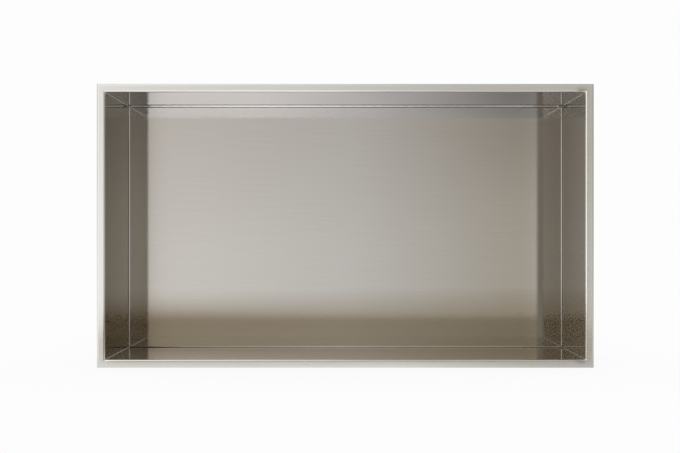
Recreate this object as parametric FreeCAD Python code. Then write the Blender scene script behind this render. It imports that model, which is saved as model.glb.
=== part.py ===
import FreeCAD, Part
import math
import os
from FreeCAD import Vector

# A niche for the wall of a shower: an open box of folded and welded stainless
# sheet, with a narrow frame around its mouth that hides the edge of the tiles.
# The frame faces -Y and the box runs back along +Y into the wall. +X is to the
# right as one faces it and +Z is up. The origin is the middle of the opening,
# in the plane of the finished wall, where the folded edge of the frame seats.
# All sizes are in millimetres.

# overall sizes
FACE_WIDTH = 533.4
FACE_HEIGHT = 304.8
OVERALL_DEPTH = 101.6
FRAME_WIDTH = 9.0
STAND_OFF = 6.0

# the sheet and how it is folded, tighter around the frame than around the back
SHEET = 1.2
FRAME_BEND_INSIDE = 0.8
FRAME_BEND_OUTSIDE = FRAME_BEND_INSIDE + SHEET
BACK_BEND_INSIDE = 1.4
BACK_BEND_OUTSIDE = BACK_BEND_INSIDE + SHEET

# the welds that close the box, and the small reliefs where three folds meet
WELD_INSIDE = 1.2
WELD_OUTSIDE = 1.0
RELIEF_RADIUS = 0.9
RELIEF_DEPTH = 0.6 * SHEET

# the box inside the frame, and the planes it lies between
HALF_WIDTH = FACE_WIDTH / 2 - FRAME_WIDTH
HALF_HEIGHT = FACE_HEIGHT / 2 - FRAME_WIDTH
FRONT = -STAND_OFF
REAR = FRONT + OVERALL_DEPTH
FLOOR_OF_BOX = REAR - SHEET

# how far the mitre planes run to each side of the wall, past the whole section
MITRE_REACH = FRAME_WIDTH + BACK_BEND_INSIDE


def corner_arc(before, corner, after, radius):
    """Start, middle and end of the round that replaces one corner."""
    back = (before - corner).normalize()
    ahead = (after - corner).normalize()
    half_angle = back.getAngle(ahead) / 2
    setback = radius / math.tan(half_angle)
    inward = (back + ahead).normalize()
    middle = corner + inward * (radius / math.sin(half_angle) - radius)
    return corner + back * setback, middle, corner + ahead * setback


def rounded_face(corners):
    """Flat face from a closed run of (x, y, corner radius)."""
    points = [Vector(x, y, 0) for x, y, radius in corners]
    arcs = []
    for i, (x, y, radius) in enumerate(corners):
        if radius:
            after = points[(i + 1) % len(points)]
            arcs.append(corner_arc(points[i - 1], points[i], after, radius))
        else:
            arcs.append((points[i], None, points[i]))
    edges = []
    for i, (start, middle, end) in enumerate(arcs):
        following = arcs[(i + 1) % len(arcs)][0]
        if middle:
            edges.append(Part.Arc(start, middle, end).toShape())
        if (following - end).Length > 1e-6:
            edges.append(Part.makeLine(end, following))
    return Part.Face(Part.Wire(edges))


def sheet_section():
    """The folded sheet in section, x measured outward from the wall's inner face.

    It starts where the back panel is flat, turns forward into the wall, out
    into the frame and back again to the cut edge that seats on the tiles.
    """
    return rounded_face([
        (-BACK_BEND_INSIDE, FLOOR_OF_BOX, 0),
        (0, FLOOR_OF_BOX, BACK_BEND_INSIDE),
        (0, FRONT, FRAME_BEND_OUTSIDE),
        (FRAME_WIDTH, FRONT, FRAME_BEND_OUTSIDE),
        (FRAME_WIDTH, 0, 0),
        (FRAME_WIDTH - SHEET, 0, 0),
        (FRAME_WIDTH - SHEET, FRONT + SHEET, FRAME_BEND_INSIDE),
        (SHEET, FRONT + SHEET, FRAME_BEND_INSIDE),
        (SHEET, REAR, BACK_BEND_OUTSIDE),
        (-BACK_BEND_INSIDE, REAR, 0),
    ])


def mitre_block(half_run, half_across):
    """The wedge of space one side fills, between the two 45 degree mitres."""
    long_x = half_run + MITRE_REACH
    short_x = half_run - MITRE_REACH
    high_z = half_across + MITRE_REACH
    low_z = half_across - MITRE_REACH
    corners = [
        Vector(-long_x, FRONT - SHEET, high_z),
        Vector(long_x, FRONT - SHEET, high_z),
        Vector(short_x, FRONT - SHEET, low_z),
        Vector(-short_x, FRONT - SHEET, low_z),
    ]
    outline = Part.makePolygon(corners + corners[:1])
    return Part.Face(outline).extrude(Vector(0, OVERALL_DEPTH + 2 * SHEET, 0))


def folded_side(half_run, half_across, turn):
    """One side of the niche with its piece of frame, mitred at both ends.

    It is made as the top side, then turned about the middle of the opening.
    """
    section = sheet_section()
    section.rotate(Vector(0, 0, 0), Vector(0, 1, 0), -90)
    half_length = half_run + MITRE_REACH
    section.translate(Vector(-half_length, 0, half_across))
    side = section.extrude(Vector(2 * half_length, 0, 0))
    side = side.common(mitre_block(half_run, half_across))
    side.rotate(Vector(0, 0, 0), Vector(0, 1, 0), turn)
    return side


def back_panel():
    """The flat of the back, out to where its folds start."""
    half_x = HALF_WIDTH - BACK_BEND_INSIDE
    half_z = HALF_HEIGHT - BACK_BEND_INSIDE
    corner = Vector(-half_x, FLOOR_OF_BOX, -half_z)
    return Part.makeBox(2 * half_x, SHEET, 2 * half_z, corner)


def depth_edges(solid, offset):
    """The four corner edges that run front to back, this far outside the opening."""
    found = []
    for edge in solid.Edges:
        ends = [vertex.Point for vertex in edge.Vertexes]
        if len(ends) != 2 or not isinstance(edge.Curve, Part.Line):
            continue
        off_x = max(abs(abs(p.x) - HALF_WIDTH - offset) for p in ends)
        off_z = max(abs(abs(p.z) - HALF_HEIGHT - offset) for p in ends)
        deep = abs(ends[0].y - ends[1].y)
        if off_x < 1e-4 and off_z < 1e-4 and deep > OVERALL_DEPTH / 2:
            found.append(edge)
    return found


def corner_reliefs():
    """The small blind hollows at the four back corners, closed from behind."""
    inset_x = HALF_WIDTH - BACK_BEND_INSIDE
    inset_z = HALF_HEIGHT - BACK_BEND_INSIDE
    start = FLOOR_OF_BOX - BACK_BEND_INSIDE
    length = BACK_BEND_INSIDE + RELIEF_DEPTH
    reliefs = []
    for side_x in (-1, 1):
        for side_z in (-1, 1):
            base = Vector(side_x * inset_x, start, side_z * inset_z)
            reliefs.append(Part.makeCylinder(RELIEF_RADIUS, length, base, Vector(0, 1, 0)))
    return reliefs


def niche_body():
    """The whole niche as one folded and welded piece of sheet."""
    sides = [
        folded_side(HALF_WIDTH, HALF_HEIGHT, 0),
        folded_side(HALF_HEIGHT, HALF_WIDTH, 90),
        folded_side(HALF_WIDTH, HALF_HEIGHT, 180),
        folded_side(HALF_HEIGHT, HALF_WIDTH, 270),
    ]
    body = back_panel().multiFuse(sides).removeSplitter().Solids[0]
    body = body.makeFillet(WELD_INSIDE, depth_edges(body, 0))
    body = body.makeFillet(WELD_OUTSIDE, depth_edges(body, SHEET))
    return body.cut(corner_reliefs()).Solids[0]


os.makedirs("parts", exist_ok=True)
niche_body().exportStep("parts/niche_body.step")
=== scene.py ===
import math

import bpy
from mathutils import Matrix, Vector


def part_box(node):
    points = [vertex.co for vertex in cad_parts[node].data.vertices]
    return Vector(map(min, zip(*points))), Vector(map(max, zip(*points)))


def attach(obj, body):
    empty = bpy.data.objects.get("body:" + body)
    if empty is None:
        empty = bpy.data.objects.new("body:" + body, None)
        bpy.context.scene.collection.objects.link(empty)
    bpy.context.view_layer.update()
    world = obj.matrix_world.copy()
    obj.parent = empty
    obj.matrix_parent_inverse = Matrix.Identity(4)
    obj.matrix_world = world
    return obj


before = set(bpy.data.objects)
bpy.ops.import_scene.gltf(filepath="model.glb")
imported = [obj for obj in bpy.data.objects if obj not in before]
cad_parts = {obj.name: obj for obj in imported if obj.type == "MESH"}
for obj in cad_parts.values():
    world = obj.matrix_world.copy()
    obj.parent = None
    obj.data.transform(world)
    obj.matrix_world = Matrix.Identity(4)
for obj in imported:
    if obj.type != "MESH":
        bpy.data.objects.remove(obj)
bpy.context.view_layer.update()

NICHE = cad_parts["niche_body"]
LOW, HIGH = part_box("niche_body")

# the sheet, the width of the frame and the bends of the frame and of the back, in metres
SHEET = 0.0012
FRAME_WIDTH = 0.009
BEND = 0.002
BACK_BEND = 0.0014

# planes of the niche: front of the frame, lowest edge, face of the back panel, walls, ceiling
FRONT = LOW.y
BASE = LOW.z
BACK_Y = HIGH.y - SHEET
MOUTH_X = HIGH.x - FRAME_WIDTH
MOUTH_Z = HIGH.z - FRAME_WIDTH

# where the photograph was taken from, in metres from the face, and the middle of the face and
# the point straight ahead of the camera, in the picture's own pixels
PICTURE_WIDTH = 680
PICTURE_HEIGHT = 453
SENSOR_MM = 36.0
CAMERA_DISTANCE = 0.909
PIXELS_PER_METRE = 931.0
FACE_PIXEL = (345.3, 225.85)
EYE_PIXEL = (347.3, 234.3)

# the parts of the room: a wall that falls off from left to right, two bright screens, and a
# dark gap beside the left one
WALL_LEFT = (0.95, 0.94, 0.92)
WALL_MIDDLE = (0.83, 0.83, 0.82)
WALL_RIGHT = (0.58, 0.55, 0.49)
BRIGHT_SCREEN = (1.4, 1.4, 1.4)
DARK_GAP = (0.58, 0.53, 0.46)

# the room as the steel shows it: its tone by compass angle and by height angle, in degrees,
# where the compass angle is 0 straight in front of the niche and grows to its right
ROOM_ACROSS = [
    (-180, (0.8, 0.8, 0.8)),
    (-110, (0.45, 0.45, 0.45)),
    (-40, BRIGHT_SCREEN),
    (-18.5, BRIGHT_SCREEN),
    (-17, WALL_LEFT),
    (-14.6, WALL_LEFT),
    (-14.2, DARK_GAP),
    (-13.5, DARK_GAP),
    (-13.1, WALL_LEFT),
    (-10, WALL_LEFT),
    (0, WALL_MIDDLE),
    (11, WALL_RIGHT),
    (12.7, WALL_RIGHT),
    (13.1, BRIGHT_SCREEN),
    (13.7, BRIGHT_SCREEN),
    (14.5, WALL_RIGHT),
    (30, (0.65, 0.64, 0.60)),
    (60, (0.5, 0.5, 0.5)),
    (120, (0.3, 0.3, 0.3)),
    (180, (0.8, 0.8, 0.8)),
]
ROOM_UPWARD = [
    (-90, (1.0, 1.0, 1.0)),
    (-1, (1.0, 1.0, 1.0)),
    (7, (0.85, 0.83, 0.82)),
    (30, (0.95, 0.95, 0.95)),
    (90, (0.95, 0.95, 0.95)),
]
# the room is darker to the right between these heights, and fully so past the last compass angle
RIGHT_SHADE = 0.84
RIGHT_SHADE_ACROSS = (2.0, 12.0)
RIGHT_SHADE_RISE = (2.0, 7.4)
RIGHT_SHADE_FALL = (9.0, 8.0)

# the pale floor further off, by compass angle; it takes over from the room between two height
# angles below the horizon
FLOOR_ACROSS = [
    (-180, (0.85, 0.85, 0.85)),
    (-20, (1.0, 1.0, 1.0)),
    (-13.5, (0.7, 0.7, 0.7)),
    (-13.1, (1.35, 1.35, 1.4)),
    (-6, (1.35, 1.35, 1.4)),
    (0, (1.05, 1.05, 1.1)),
    (11, (0.36, 0.36, 0.38)),
    (12.7, (0.36, 0.36, 0.38)),
    (13.2, (1.0, 1.0, 1.0)),
    (15, (0.7, 0.7, 0.7)),
    (180, (0.85, 0.85, 0.85)),
]
FLOOR_UPWARD = (-7.0, -8.0)

# the floor close to the niche, by x, as the steel shows it; it fades out between two y
NEAR_FLOOR = [
    (-0.3, (0.84, 0.84, 0.83)),
    (0.05, (0.86, 0.86, 0.85)),
    (0.2, (0.62, 0.62, 0.61)),
    (0.3, (0.58, 0.58, 0.57)),
]
NEAR_FLOOR_ENDS = (-0.045, -0.06)
FLOOR_REACH = 6.0
FLOOR_COLOUR = (0.95, 0.95, 0.95)
SHADOW_SHARE = 0.08
SHADOW_REACH = 0.15
BACKDROP = (0.98, 0.98, 0.98)
ROOM_LIGHT = 1.0

# two strips of brown film that stand low in front of the mouth, the near one and the far one,
# and a narrow dark card close to its right, which only the steel shows
NEAR_FILM_AHEAD = 0.066
NEAR_FILM_HALF = 0.2745
NEAR_FILM_FULL = -0.12
NEAR_FILM_CLEAR = -0.083
NEAR_FILM_ACROSS = [
    (-NEAR_FILM_HALF, (0.56, 0.50, 0.41)),
    (0.0, (0.70, 0.64, 0.55)),
    (NEAR_FILM_HALF, (0.77, 0.72, 0.63)),
]
# the tint reaches less high at the left, where the power is larger, than at the right
NEAR_FILM_POWER = (1.6, 0.75)
NEAR_FILM_POWER_X = 0.2
NEAR_FILM_LOW = -0.16
FAR_FILM_AHEAD = 0.2
FAR_FILM_HALF = 0.4
FAR_FILM_LOW = -0.175
FAR_FILM_FULL = -0.1413
FAR_FILM_CLEAR = -0.1322
FAR_FILM_TINT = (0.68, 0.65, 0.60)
DARK_CARD_AHEAD = 0.03
DARK_CARD_X = (0.2575, 0.2655)
DARK_CARD_LIFT = 0.0005
DARK_CARD_TONE = (0.235, 0.215, 0.18)

# a tint that changes nothing
WHITE = (1.0, 1.0, 1.0)

# the steel, from its mirror-like walls to its satin frame and its welds; the frame is the same steel,
# given a lighter colour as painted light
STEEL = (0.58, 0.56, 0.53)
LIT_FRAME_STEEL = (0.80, 0.79, 0.76)
# painted highlight and painted shade on the welds: lighter at the left, darker at the right
WELD_LEFT_HIGHLIGHT = (0.66, 0.64, 0.61)
WELD_RIGHT_SHADE = (0.42, 0.41, 0.39)
# painted shade in the lower back fold, deepest at the left
FOLD_BELOW_SHADE = [
    (-0.25, (0.24, 0.22, 0.19)),
    (0.0, (0.60, 0.57, 0.52)),
    (0.25, (0.48, 0.45, 0.41)),
]
# painted shade and painted reflection, as tints of the steel's grazing reflections: darker on the
# side walls, warmer on the niche floor
SIDE_WALL_SHADE_TINT = (0.49, 0.47, 0.44)
FLOOR_EDGE_WARM_REFLECTION = (1.0, 0.985, 0.93)
STEEL_ROUGHNESS = 0.055
FRAME_ROUGHNESS = 0.22
SATIN_DEEP = 0.0005
WELD_ROUGHNESS = 0.18

# its grain: long streaks and fine scratches, as repeats per metre along and across, and detail
STREAKS = (14.0, 700.0, 4.0)
SCRATCHES = (60.0, 5000.0, 2.0)
NOISE_SPREAD = (0.3, 0.7)
STREAK_SHADE = (0.98, 1.02)
SCRATCH_ROUGHNESS = (0.85, 1.15)
SCRATCH_BUMP = 0.05
SCRATCH_DEPTH = 0.0001

# how squarely a face points along an axis, how much it turns between two, and how far the
# lower fold's zone reaches past the fold
SQUARE = 0.7
TURNED = 0.12
FOLD_MARGIN = 0.0003

# the weld along the back of the ceiling, lighter than the sheet as a painted highlight, with painted
# shade where it faces down
BEAD_STEEL_AND_HIGHLIGHT = (0.70, 0.69, 0.67)
BEAD_UNDER_SHADE = (0.30, 0.29, 0.27)
BEAD_UNDER = (-0.5, -0.75)
BEAD_ROUGHNESS = 0.08
BEAD_MOTTLE = 900.0
BEAD_MOTTLE_DETAIL = 3.0
BEAD_MOTTLE_SHADE = (0.9, 1.06)
BEAD_RADIUS = 0.0018
BEAD_ROOT = 0.0004
BEAD_END = 0.003
BEAD_PITCH = 0.004
BEAD_RIPPLE = 0.05
BEAD_RIPPLE_TURNS = (2.4, 0.37)
BEAD_STEPS = 8


class Shader:
    """Small helper that adds and links the nodes of one material or world."""

    def __init__(self, owner):
        owner.use_nodes = True
        self.tree = owner.node_tree
        self.tree.nodes.clear()

    def node(self, kind, settings=(), **inputs):
        node = self.tree.nodes.new(kind)
        for name, value in settings:
            setattr(node, name, value)
        for name, value in inputs.items():
            self.put(node.inputs[name.replace("_", " ")], value)
        return node

    def put(self, socket, value):
        if isinstance(value, bpy.types.NodeSocket):
            self.tree.links.new(value, socket)
        elif isinstance(value, tuple) and len(value) == 3 and socket.type == "RGBA":
            socket.default_value = (*value, 1.0)
        else:
            socket.default_value = value

    def math(self, operation, a, b=0.0, c=0.0):
        node = self.node("ShaderNodeMath", [("operation", operation)])
        for socket, value in zip(node.inputs, (a, b, c)):
            self.put(socket, value)
        return node.outputs[0]

    def parts(self, vector):
        return self.node("ShaderNodeSeparateXYZ", Vector=vector).outputs

    def vector(self, x, y, z):
        return self.node("ShaderNodeCombineXYZ", X=x, Y=y, Z=z).outputs[0]

    def mix(self, factor, a, b):
        node = self.node("ShaderNodeMix", [("data_type", "FLOAT")])
        for socket, value in zip((node.inputs[0], node.inputs[2], node.inputs[3]), (factor, a, b)):
            self.put(socket, value)
        return node.outputs[0]

    def mix_colour(self, factor, a, b, how="MIX"):
        node = self.node("ShaderNodeMix", [("data_type", "RGBA"), ("blend_type", how)])
        for socket, value in zip((node.inputs[0], node.inputs[6], node.inputs[7]), (factor, a, b)):
            self.put(socket, value)
        return node.outputs[2]

    def shaded(self, colour, shade):
        """The colour times one grey value."""
        return self.mix_colour(1.0, colour, self.vector(shade, shade, shade), "MULTIPLY")

    def mix_shader(self, factor, a, b):
        node = self.node("ShaderNodeMixShader")
        for socket, value in zip(node.inputs, (factor, a, b)):
            self.put(socket, value)
        return node.outputs[0]

    def span(self, value, low, high, to_low=0.0, to_high=1.0):
        node = self.node("ShaderNodeMapRange")
        for socket, number in zip(node.inputs, (value, low, high, to_low, to_high)):
            self.put(socket, number)
        return node.outputs[0]

    def ramp(self, value, stops):
        """Colour along a value: stops are (value, colour) from low to high."""
        low = stops[0][0]
        high = stops[-1][0]
        node = self.node("ShaderNodeValToRGB")
        self.put(node.inputs[0], self.span(value, low, high))
        elements = node.color_ramp.elements
        while len(elements) < len(stops):
            elements.new(1.0)
        for element, (at, colour) in zip(elements, stops):
            element.position = (at - low) / (high - low)
            element.color = (*colour, 1.0)
        return node.outputs[0]

    def rays(self):
        """Whether the camera sees this surface, and whether metal or glass does."""
        ray = self.node("ShaderNodeLightPath").outputs
        shine = self.math("MAXIMUM", ray["Is Glossy Ray"], ray["Is Transmission Ray"])
        return ray["Is Camera Ray"], shine

    def metal(self, colour, roughness):
        node = self.node(
            "ShaderNodeBsdfPrincipled", Base_Color=colour, Metallic=1.0, Roughness=roughness
        )
        self.node("ShaderNodeOutputMaterial", Surface=node.outputs[0])
        return node

    def compass(self, x, y):
        """Angle in degrees to the right of straight in front of the niche."""
        return self.math("DEGREES", self.math("ARCTAN2", x, self.math("MULTIPLY", y, -1.0)))


def room_tone(shader, direction):
    """The tone of the room that lies this way from the niche."""
    x, y, z = shader.parts(direction)
    upward = shader.math("DEGREES", shader.math("ARCSINE", z))
    across = shader.compass(x, y)
    room = shader.mix_colour(
        1.0, shader.ramp(across, ROOM_ACROSS), shader.ramp(upward, ROOM_UPWARD), "MULTIPLY"
    )
    rise = shader.span(upward, *RIGHT_SHADE_RISE)
    fall = shader.span(upward, *RIGHT_SHADE_FALL)
    right = shader.span(across, *RIGHT_SHADE_ACROSS, 1.0, RIGHT_SHADE)
    room = shader.shaded(room, shader.mix(shader.math("MINIMUM", rise, fall), 1.0, right))
    below = shader.span(upward, *FLOOR_UPWARD)
    return shader.mix_colour(below, room, shader.ramp(across, FLOOR_ACROSS))


def build_world():
    """Even light, a white background for the camera, and the room for the steel."""
    world = bpy.data.worlds.new("studio")
    bpy.context.scene.world = world
    shader = Shader(world)
    tone = room_tone(shader, shader.node("ShaderNodeTexCoord").outputs["Generated"])
    camera, shine = shader.rays()
    room = shader.node("ShaderNodeBackground", Color=tone).outputs[0]
    light = shader.node("ShaderNodeBackground", Color=(ROOM_LIGHT,) * 3).outputs[0]
    white = shader.node("ShaderNodeBackground", Color=BACKDROP).outputs[0]
    result = shader.mix_shader(shine, light, room)
    result = shader.mix_shader(camera, result, white)
    shader.node("ShaderNodeOutputWorld", Surface=result)


def flat_stage(name, corners):
    """A flat sheet of the studio with these four corners."""
    mesh = bpy.data.meshes.new(name)
    mesh.from_pydata(corners, [], [(0, 1, 2, 3)])
    sheet = bpy.data.objects.new(name, mesh)
    bpy.context.scene.collection.objects.link(sheet)
    return sheet


def build_floor():
    """A white floor with a faint soft shadow in front of and beside the niche."""
    turns = ((-1, -1), (1, -1), (1, 1), (-1, 1))
    floor = flat_stage("floor", [(FLOOR_REACH * i, FLOOR_REACH * j, BASE) for i, j in turns])
    material = bpy.data.materials.new("pale_floor")
    shader = Shader(material)
    x, y, z = shader.parts(shader.node("ShaderNodeTexCoord").outputs["Object"])
    beside = shader.math("SUBTRACT", shader.math("ABSOLUTE", x), HIGH.x)
    ahead = shader.math("SUBTRACT", FRONT, y)
    away = shader.math("MAXIMUM", shader.math("MAXIMUM", beside, ahead), 0.0)
    fade = shader.span(away, 0.0, SHADOW_REACH, 1.0 - SHADOW_SHARE, 1.0)
    camera, shine = shader.rays()
    matt = shader.node("ShaderNodeBsdfDiffuse", Color=FLOOR_COLOUR).outputs[0]
    white = shader.node("ShaderNodeEmission", Color=BACKDROP).outputs[0]
    clear = shader.node("ShaderNodeBsdfTransparent").outputs[0]
    near = shader.node("ShaderNodeEmission", Color=shader.ramp(x, NEAR_FLOOR)).outputs[0]
    gone = shader.span(y, *NEAR_FLOOR_ENDS)
    result = shader.mix_shader(shader.math("MULTIPLY", fade, camera), matt, white)
    result = shader.mix_shader(shine, result, shader.mix_shader(gone, near, clear))
    shader.node("ShaderNodeOutputMaterial", Surface=result)
    floor.data.materials.append(material)


def reflected_only(card, surface):
    """Keep a card out of sight and out of the light: only the steel shows it."""
    card.visible_camera = False
    card.visible_diffuse = False
    card.visible_shadow = False
    card.data.materials.append(surface)


def upright_card(name, ahead, across, upward, surface):
    """A card that stands this far in front of the mouth, between two x and two z."""
    y = FRONT - ahead
    (low_x, high_x), (low_z, high_z) = across, upward
    card = flat_stage(name, [
        (low_x, y, low_z), (high_x, y, low_z), (high_x, y, high_z), (low_x, y, high_z),
    ])
    reflected_only(card, surface)


def film(name, tint_of):
    """A clear film with the tint that tint_of works out from x and z."""
    material = bpy.data.materials.new(name)
    shader = Shader(material)
    x, y, z = shader.parts(shader.node("ShaderNodeTexCoord").outputs["Object"])
    clear = shader.node("ShaderNodeBsdfTransparent", Color=tint_of(shader, x, z)).outputs[0]
    shader.node("ShaderNodeOutputMaterial", Surface=clear)
    return material


def near_film_tint(shader, x, z):
    """Clear along the top, and deeper lower down and to the left."""
    fade = shader.span(z, NEAR_FILM_CLEAR, NEAR_FILM_FULL)
    power = shader.span(x, -NEAR_FILM_POWER_X, NEAR_FILM_POWER_X, *NEAR_FILM_POWER)
    fade = shader.math("POWER", fade, power)
    return shader.mix_colour(fade, WHITE, shader.ramp(x, NEAR_FILM_ACROSS))


def far_film_tint(shader, x, z):
    """Clear along the top and one tint below that."""
    clear = shader.span(z, FAR_FILM_FULL, FAR_FILM_CLEAR)
    return shader.mix_colour(clear, FAR_FILM_TINT, WHITE)


def dark_card():
    """A card with one dim tone of its own."""
    material = bpy.data.materials.new("dark_card")
    shader = Shader(material)
    glow = shader.node("ShaderNodeEmission", Color=DARK_CARD_TONE).outputs[0]
    shader.node("ShaderNodeOutputMaterial", Surface=glow)
    return material


def build_cards():
    """The two films and the dark card, each upright in front of the mouth."""
    near_across = (-NEAR_FILM_HALF, NEAR_FILM_HALF)
    near = film("near_film", near_film_tint)
    upright_card("near_film", NEAR_FILM_AHEAD, near_across, (NEAR_FILM_LOW, NEAR_FILM_CLEAR), near)
    far_across = (-FAR_FILM_HALF, FAR_FILM_HALF)
    far = film("far_film", far_film_tint)
    upright_card("far_film", FAR_FILM_AHEAD, far_across, (FAR_FILM_LOW, FAR_FILM_CLEAR), far)
    upward = (BASE + DARK_CARD_LIFT, HIGH.z)
    upright_card("dark_card", DARK_CARD_AHEAD, DARK_CARD_X, upward, dark_card())


def build_camera():
    """The camera level and square to the niche, its lens shifted as the picture shows."""
    lens_px = PIXELS_PER_METRE * (CAMERA_DISTANCE + BEND)
    data = bpy.data.cameras.new("camera")
    data.sensor_width = SENSOR_MM
    data.lens = lens_px * SENSOR_MM / PICTURE_WIDTH
    data.shift_x = (PICTURE_WIDTH / 2 - EYE_PIXEL[0]) / PICTURE_WIDTH
    data.shift_y = (EYE_PIXEL[1] - PICTURE_HEIGHT / 2) / PICTURE_WIDTH
    camera = bpy.data.objects.new("camera", data)
    right = (EYE_PIXEL[0] - FACE_PIXEL[0]) / PIXELS_PER_METRE
    drop = (EYE_PIXEL[1] - FACE_PIXEL[1]) / PIXELS_PER_METRE
    camera.location = (right, FRONT - CAMERA_DISTANCE, -drop)
    camera.rotation_euler = (math.pi / 2, 0.0, 0.0)
    bpy.context.scene.collection.objects.link(camera)
    bpy.context.scene.camera = camera


class Zones:
    """Where on the niche a point is, as masks that are 0 or 1."""

    def __init__(self, shader):
        place = shader.node("ShaderNodeTexCoord").outputs
        self.x, self.y, self.z = shader.parts(place["Object"])
        facing = shader.parts(place["Normal"])
        out_x = shader.math("ABSOLUTE", self.x)
        out_z = shader.math("ABSOLUTE", self.z)
        lean_x = shader.math("ABSOLUTE", facing[0])
        lean_z = shader.math("ABSOLUTE", facing[2])
        lip_x = shader.math("GREATER_THAN", out_x, HIGH.x - BEND)
        lip_z = shader.math("GREATER_THAN", out_z, HIGH.z - BEND)
        lip = shader.math("MAXIMUM", lip_x, lip_z)
        front = shader.math("LESS_THAN", self.y, FRONT + BEND)
        self.frame = shader.math("MAXIMUM", lip, front)
        past_x = shader.math("SUBTRACT", out_x, MOUTH_X)
        past_z = shader.math("SUBTRACT", out_z, MOUTH_Z)
        upright = shader.math("GREATER_THAN", past_x, past_z)
        self.upright = shader.math("MULTIPLY", self.frame, upright)
        inside = shader.math("SUBTRACT", 1.0, self.frame)
        self.side = shader.math("MULTIPLY", inside, shader.math("GREATER_THAN", lean_x, SQUARE))
        self.level = shader.math("MULTIPLY", inside, shader.math("GREATER_THAN", lean_z, SQUARE))
        self.floor = shader.math("MULTIPLY", self.level, shader.math("LESS_THAN", self.z, 0.0))
        self.satin = shader.math("MAXIMUM", lip, shader.math("LESS_THAN", self.y, FRONT + SATIN_DEEP))
        lean_y = shader.math("ABSOLUTE", facing[1])
        turned = shader.math("MULTIPLY", lean_x, lean_y)
        for one, other in ((lean_y, lean_z), (lean_x, lean_z)):
            turned = shader.math("MAXIMUM", turned, shader.math("MULTIPLY", one, other))
        self.weld = shader.math("MULTIPLY", inside, shader.math("GREATER_THAN", turned, TURNED))
        # the lower back fold, where shade is painted
        low = shader.math("LESS_THAN", self.z, BACK_BEND - MOUTH_Z + FOLD_MARGIN)
        back = shader.math("MULTIPLY", low, shader.math("LESS_THAN", lean_x, TURNED))
        self.shaded_fold_below = shader.math("MULTIPLY", self.weld, back)


def grain_noise(shader, zones, along_scale, across_scale, detail):
    """Noise drawn out along each member of the frame and along each wall."""
    along = shader.mix(zones.side, zones.x, zones.y)
    along = shader.mix(zones.upright, along, zones.z)
    across = shader.mix(zones.level, zones.z, zones.y)
    across = shader.mix(zones.upright, across, zones.x)
    vector = shader.vector(
        shader.math("MULTIPLY", along, along_scale),
        shader.math("MULTIPLY", across, across_scale),
        zones.side,
    )
    noise = shader.node("ShaderNodeTexNoise", Vector=vector, Scale=1.0, Detail=detail)
    return noise.outputs[0]


def steel_material():
    """Brushed steel: satin frame, mirror-like walls and duller welds, with painted light on the frame
    and welds, and painted shade on the walls, welds and lower fold.
    """
    material = bpy.data.materials.new("brushed_steel")
    shader = Shader(material)
    zones = Zones(shader)
    streaks = grain_noise(shader, zones, *STREAKS)
    scratches = grain_noise(shader, zones, *SCRATCHES)
    # painted light: the frame's lighter colour on the same steel as the walls
    colour = shader.mix_colour(zones.frame, STEEL, LIT_FRAME_STEEL)
    # painted highlight and painted shade along the welds, fading from light at the left to dark at
    # the right
    weld = shader.mix_colour(
        shader.span(zones.x, -MOUTH_X, MOUTH_X), WELD_LEFT_HIGHLIGHT, WELD_RIGHT_SHADE
    )
    colour = shader.mix_colour(zones.weld, colour, weld)
    # painted shade in the lower back fold
    shaded_fold_below = shader.ramp(zones.x, FOLD_BELOW_SHADE)
    colour = shader.mix_colour(zones.shaded_fold_below, colour, shaded_fold_below)
    colour = shader.shaded(colour, shader.span(streaks, *NOISE_SPREAD, *STREAK_SHADE))
    # painted shade on the side walls' reflections and a painted warm reflection on the niche floor
    edge = shader.mix_colour(zones.side, WHITE, SIDE_WALL_SHADE_TINT)
    edge = shader.mix_colour(zones.floor, edge, FLOOR_EDGE_WARM_REFLECTION)
    rough = shader.mix(zones.satin, STEEL_ROUGHNESS, FRAME_ROUGHNESS)
    rough = shader.mix(zones.weld, rough, WELD_ROUGHNESS)
    scratched = shader.span(scratches, *NOISE_SPREAD, *SCRATCH_ROUGHNESS)
    metal = shader.metal(colour, shader.math("MULTIPLY", rough, scratched))
    bump = shader.node(
        "ShaderNodeBump", Strength=SCRATCH_BUMP, Distance=SCRATCH_DEPTH, Height=scratches
    )
    shader.put(metal.inputs["Specular Tint"], edge)
    shader.put(metal.inputs["Normal"], bump.outputs[0])
    return material


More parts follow.
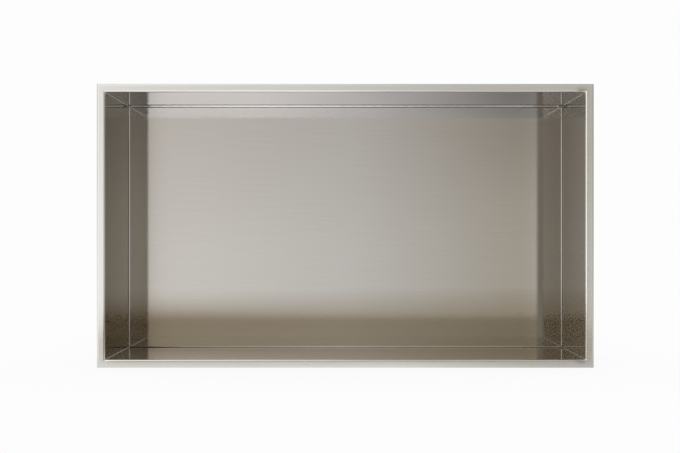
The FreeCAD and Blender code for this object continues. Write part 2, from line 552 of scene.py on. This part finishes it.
def bead_material():
    """Bare weld metal, slightly mottled along its length, with a painted highlight and with painted
    shade where it faces down.
    """
    material = bpy.data.materials.new("weld_bead")
    shader = Shader(material)
    place = shader.node("ShaderNodeTexCoord").outputs
    x, y, z = shader.parts(place["Object"])
    shaded_under = shader.span(shader.parts(place["Normal"])[2], *BEAD_UNDER)
    along = shader.vector(x, 0.0, 0.0)
    mottle = shader.node(
        "ShaderNodeTexNoise", Vector=along, Scale=BEAD_MOTTLE, Detail=BEAD_MOTTLE_DETAIL
    )
    # painted highlight on the bead, and painted shade where it faces down
    colour = shader.mix_colour(shaded_under, BEAD_STEEL_AND_HIGHLIGHT, BEAD_UNDER_SHADE)
    shade = shader.span(mottle.outputs[0], *NOISE_SPREAD, *BEAD_MOTTLE_SHADE)
    colour = shader.shaded(colour, shade)
    shader.metal(colour, BEAD_ROUGHNESS)
    return material


def bead_ring(x, radius):
    """One section of the bead: a quarter round, and a root sunk into the sheet."""
    ring = []
    for i in range(BEAD_STEPS + 1):
        angle = math.pi / 2 * i / BEAD_STEPS
        ring.append((x, BACK_Y - radius * math.cos(angle), MOUTH_Z - radius * math.sin(angle)))
    sunk_y = BACK_Y + BEAD_ROOT
    sunk_z = MOUTH_Z + BEAD_ROOT
    ring += [
        (x, sunk_y, MOUTH_Z - radius),
        (x, sunk_y, sunk_z),
        (x, BACK_Y - radius, sunk_z),
    ]
    return ring


def build_bead():
    """The thin weld along the back of the ceiling, slightly rippled along its length."""
    half = MOUTH_X - BEAD_END
    count = round(2 * half / BEAD_PITCH)
    quick, slow = BEAD_RIPPLE_TURNS
    verts = []
    faces = []
    for i in range(count + 1):
        ripple = 1.0 + BEAD_RIPPLE * math.sin(quick * i) * math.sin(slow * i)
        verts += bead_ring(-half + 2 * half * i / count, BEAD_RADIUS * ripple)
    size = len(verts) // (count + 1)
    for i in range(count):
        for j in range(size):
            here = i * size + j
            beside = i * size + (j + 1) % size
            faces.append((here, beside, beside + size, here + size))
    faces.append(tuple(range(size))[::-1])
    faces.append(tuple(range(count * size, (count + 1) * size)))
    mesh = bpy.data.meshes.new("weld_above")
    mesh.from_pydata(verts, [], faces)
    bead = bpy.data.objects.new("weld_above", mesh)
    bpy.context.scene.collection.objects.link(bead)
    mesh.materials.append(bead_material())
    for polygon in mesh.polygons:
        polygon.use_smooth = len(polygon.vertices) == 4 and polygon.normal.y < 0.5
    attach(bead, "root")


NICHE.data.materials.clear()
NICHE.data.materials.append(steel_material())
build_bead()
build_world()
build_floor()
build_cards()
build_camera()
bpy.context.scene.view_settings.view_transform = "Standard"
